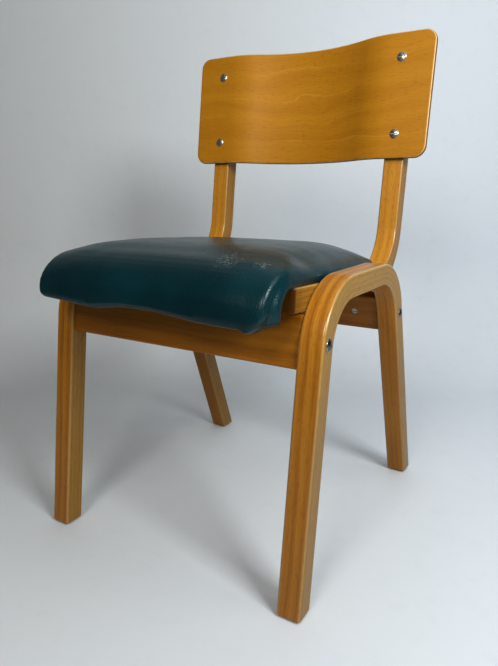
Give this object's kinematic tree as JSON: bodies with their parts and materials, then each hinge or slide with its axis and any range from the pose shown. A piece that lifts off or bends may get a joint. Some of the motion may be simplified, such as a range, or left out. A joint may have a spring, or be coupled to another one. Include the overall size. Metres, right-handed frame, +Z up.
{
  "type": "stacking chair",
  "caption": "Armless stacking chair with bent-laminated wooden leg frames, two back posts, a curved plywood backrest and a vinyl-covered padded seat.",
  "frame": {"origin": "on the floor, at the centre of the chair's outline from side to side and from the seat's nose to the rear feet", "axes": "+Z up, +Y towards the back, +X towards the right as seen by someone standing in front of the chair; the chair is the same on both sides of the plane x = 0"},
  "size_m": [0.471, 0.5358, 0.8073],
  "materials": {
    "beech_lamination": "honey-lacquered bent beech lamination, gloss",
    "beech_solid": "honey-lacquered solid beech, satin",
    "beech_plywood": "honey-lacquered beech plywood, satin",
    "board_plywood": "unfinished plywood",
    "dowel_wood": "unfinished beech",
    "green_vinyl": "dark blue-green vinyl with a fine leather grain, semi-gloss",
    "seat_foam": "open-cell foam",
    "nickel_steel": "nickel plated",
    "zinc_steel": "zinc plated",
    "glide_plastic": "dark nylon"
  },
  "bodies": {
    "root": {"left_leg_frame": "beech_lamination", "right_leg_frame": "beech_lamination", "left_back_post": "beech_lamination", "right_back_post": "beech_lamination", "front_rail": "beech_solid", "rear_rail": "beech_solid", "left_post_screws": "zinc_steel", "right_post_screws": "zinc_steel", "front_rail_bolts": "nickel_steel", "rear_rail_bolts": "nickel_steel", "front_barrel_nuts": "zinc_steel", "rear_barrel_nuts": "zinc_steel", "front_rail_dowels": "dowel_wood", "rear_rail_dowels": "dowel_wood", "backrest_panel": "beech_plywood", "backrest_sleeve_nuts": "nickel_steel", "backrest_washers": "zinc_steel", "backrest_bolts": "zinc_steel", "seat_board": "board_plywood", "seat_foam": "seat_foam", "seat_cover": "green_vinyl", "cover_staples": "zinc_steel", "seat_tee_nuts": "zinc_steel", "seat_washers": "zinc_steel", "seat_bolts": "zinc_steel", "front_left_glide": "glide_plastic", "front_right_glide": "glide_plastic", "rear_left_glide": "glide_plastic", "rear_right_glide": "glide_plastic", "glide_nails": "zinc_steel"}
  },
  "joints": []
}
